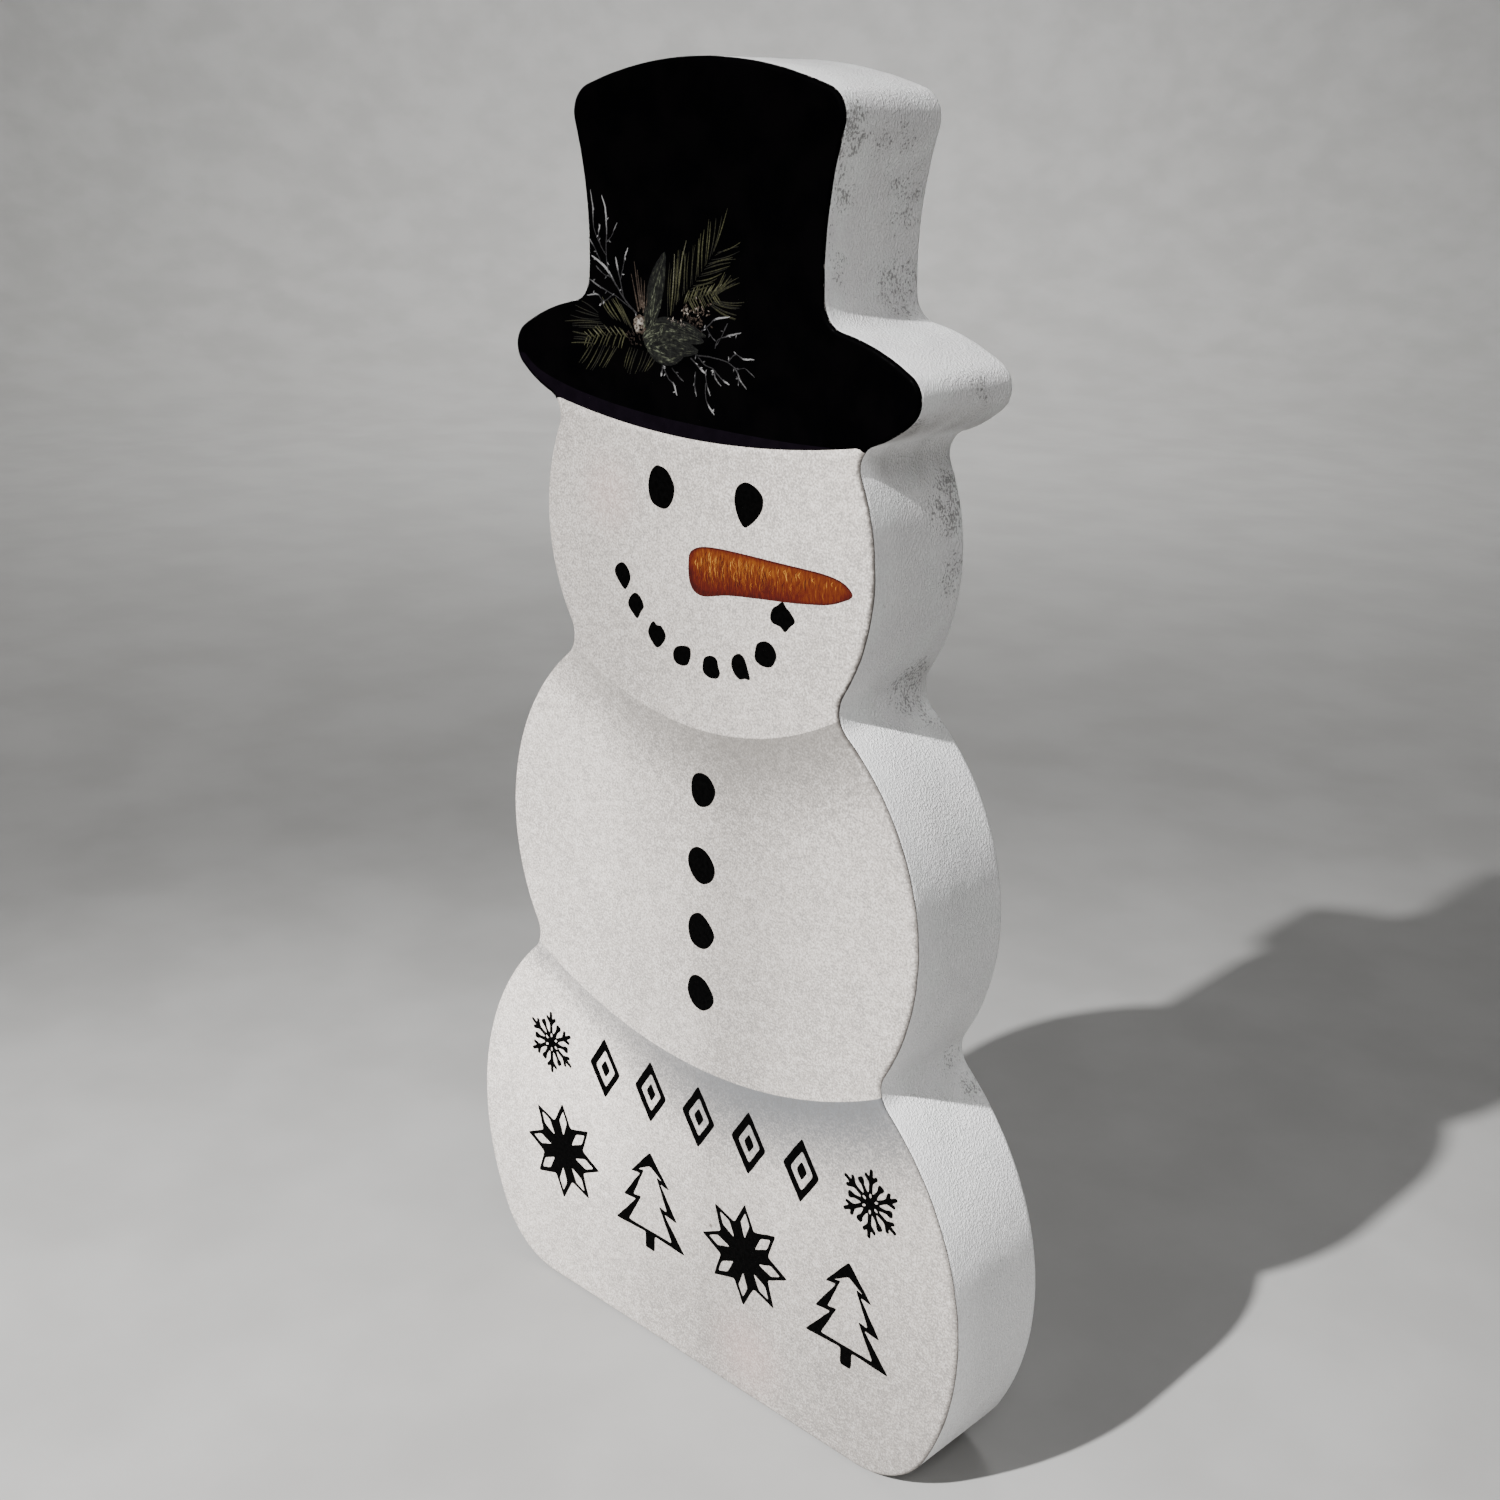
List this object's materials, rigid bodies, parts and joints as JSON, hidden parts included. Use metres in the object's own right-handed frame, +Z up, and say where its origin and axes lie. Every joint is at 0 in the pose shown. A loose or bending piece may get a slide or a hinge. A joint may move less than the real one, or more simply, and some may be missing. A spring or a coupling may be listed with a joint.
{
  "type": "wooden snowman figure",
  "caption": "Free-standing snowman figure: one thick board sawn to a snowman in a top hat, painted white, with a printed paper face glued over its front.",
  "frame": {"origin": "under the middle of the base, at the middle of the depth", "axes": "+Z up, +X to the viewer's right when facing the printed face, the printed face towards -Y"},
  "size_m": [0.173, 0.032, 0.33],
  "materials": {
    "board": "white brush paint over sawn fibreboard, satin, slightly rough",
    "snow": "matte printed paper, off-white, fine linen-like speckle",
    "black_ink": "matte black ink",
    "plum_ink": "matte plum-black ink",
    "shade_ink": "soft grey printed shading",
    "carrot_ink": "matte orange-brown ink with cross strokes",
    "pine_ink": "matte olive green ink",
    "frost_ink": "matte frosty white ink",
    "sage_ink": "matte grey-green ink",
    "cream_ink": "matte cream ink"
  },
  "bodies": {
    "root": {"wood_block": "board", "snow_print": "snow", "hat_print": "black_ink", "eye_left": "black_ink", "eye_right": "black_ink", "mouth_coal_1": "black_ink", "mouth_coal_2": "black_ink", "mouth_coal_3": "black_ink", "mouth_coal_4": "black_ink", "mouth_coal_5": "black_ink", "mouth_coal_6": "black_ink", "mouth_coal_7": "black_ink", "mouth_coal_8": "black_ink", "coat_button_1": "black_ink", "coat_button_2": "black_ink", "coat_button_3": "black_ink", "coat_button_4": "black_ink", "snowflake_left": "black_ink", "snowflake_right": "black_ink", "small_diamond_1": "black_ink", "small_diamond_2": "black_ink", "small_diamond_3": "black_ink", "small_diamond_4": "black_ink", "small_diamond_5": "black_ink", "eight_point_star_1": "black_ink", "eight_point_star_2": "black_ink", "pine_tree_1": "black_ink", "pine_tree_2": "black_ink", "brim_shade_print": "plum_ink", "chin_shade_print": "shade_ink", "belly_shade_print": "shade_ink", "carrot_nose": "carrot_ink", "pine_branch_upper": "pine_ink", "pine_branch_right": "pine_ink", "pine_branch_left": "pine_ink", "frosted_twig_left": "frost_ink", "frosted_twig_right": "frost_ink", "sage_leaf_upper": "sage_ink", "sage_leaf_centre": "sage_ink", "sage_leaf_lower": "sage_ink", "cream_bud": "cream_ink"}
  },
  "joints": []
}
